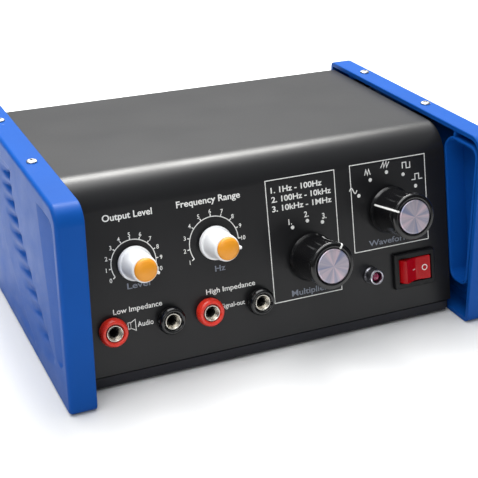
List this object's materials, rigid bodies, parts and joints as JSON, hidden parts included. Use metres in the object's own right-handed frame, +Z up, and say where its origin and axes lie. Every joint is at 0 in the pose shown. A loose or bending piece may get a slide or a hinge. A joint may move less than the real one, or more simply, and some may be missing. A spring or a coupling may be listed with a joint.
{
  "type": "function generator",
  "caption": "Bench signal generator with a bent metal case, blue end frames with recessed grips, rotary controls, output sockets and a power rocker.",
  "frame": {"origin": "centre of the bounding box at the bench surface", "axes": "+Z up, the control panel faces -Y, +X to the user's right"},
  "size_m": [0.199, 0.1394, 0.089],
  "materials": {
    "grey_sheet": "satin",
    "tray_black": "satin",
    "blue_plastic": "satin",
    "zinc": "plated",
    "white_plastic": "satin",
    "orange_plastic": "satin",
    "black_plastic": "gloss",
    "spun_aluminium": "spun",
    "red_plastic": "gloss",
    "rocker_red": "gloss",
    "chrome": "polished",
    "nickel": "plated",
    "red_lens": "gloss",
    "board_green": "satin",
    "chip_black": "matte",
    "capacitor_blue": "satin",
    "core_steel": "matte",
    "winding_yellow": "matte",
    "brass": "plated"
  },
  "bodies": {
    "case": {"cover_sheet": "grey_sheet", "base_tray": "tray_black", "side_plate_left": "tray_black", "side_plate_right": "tray_black", "rear_panel": "tray_black", "end_frame_left": "blue_plastic", "end_frame_right": "blue_plastic", "frame_screw_left_front": "zinc", "frame_screw_left_rear": "zinc", "frame_screw_right_front": "zinc", "frame_screw_right_rear": "zinc", "rear_screw_left": "zinc", "rear_screw_right": "zinc", "output_pot": "nickel", "output_pot_nut": "nickel", "frequency_pot": "nickel", "frequency_pot_nut": "nickel", "multiplier_switch": "black_plastic", "multiplier_switch_nut": "nickel", "waveform_switch": "black_plastic", "waveform_switch_nut": "nickel", "socket_low_red": "red_plastic", "socket_low_black": "black_plastic", "socket_high_red": "red_plastic", "socket_high_black": "black_plastic", "contact_low_red": "nickel", "contact_low_black": "nickel", "contact_high_red": "nickel", "contact_high_black": "nickel", "socket_nut_low_red": "nickel", "socket_nut_low_black": "nickel", "socket_nut_high_red": "nickel", "socket_nut_high_black": "nickel", "led_bezel": "chrome", "led_lens": "red_lens", "rocker_bezel": "black_plastic", "rocker_terminal_left": "brass", "rocker_terminal_right": "brass", "main_board": "board_green", "filter_capacitor": "capacitor_blue", "heat_sink": "spun_aluminium", "transformer_core": "core_steel", "transformer_winding": "winding_yellow", "mains_inlet": "black_plastic", "fuse_holder": "black_plastic", "fuse_holder_cap": "chip_black"},
    "output_dial": {"output_knob": "white_plastic", "output_knob_cap": "orange_plastic", "output_pot_shaft": "nickel"},
    "frequency_dial": {"frequency_knob": "white_plastic", "frequency_knob_cap": "orange_plastic", "frequency_pot_shaft": "nickel"},
    "multiplier_dial": {"multiplier_knob": "black_plastic", "multiplier_knob_cap": "spun_aluminium", "multiplier_switch_shaft": "nickel"},
    "waveform_dial": {"waveform_knob": "black_plastic", "waveform_knob_cap": "spun_aluminium", "waveform_switch_shaft": "nickel"},
    "power_rocker": {"rocker_button": "rocker_red"}
  },
  "joints": [
    {"name": "output_turn", "type": "hinge", "parent": "case", "child": "output_dial", "pos_m": [-0.0629, -0.04429, 0.05098], "axis": [0, -0.9767, 0.2147], "range_deg": [0, 240]},
    {"name": "frequency_turn", "type": "hinge", "parent": "case", "child": "frequency_dial", "pos_m": [-0.0273, -0.04382, 0.05313], "axis": [0, -0.9767, 0.2147], "range_deg": [0, 240]},
    {"name": "multiplier_turn", "type": "hinge", "parent": "case", "child": "multiplier_dial", "pos_m": [0.0165, -0.04687, 0.03926], "axis": [0, -0.9767, 0.2147], "range_deg": [0, 60]},
    {"name": "waveform_turn", "type": "hinge", "parent": "case", "child": "waveform_dial", "pos_m": [0.057, -0.0438, 0.05323], "axis": [0, -0.9767, 0.2147], "range_deg": [-120, 0]},
    {"name": "rocker_tip", "type": "hinge", "parent": "case", "child": "power_rocker", "pos_m": [0.0679, -0.04987, 0.02374], "axis": [0, 0.2147, 0.9767], "range_deg": [-22, 0]}
  ]
}
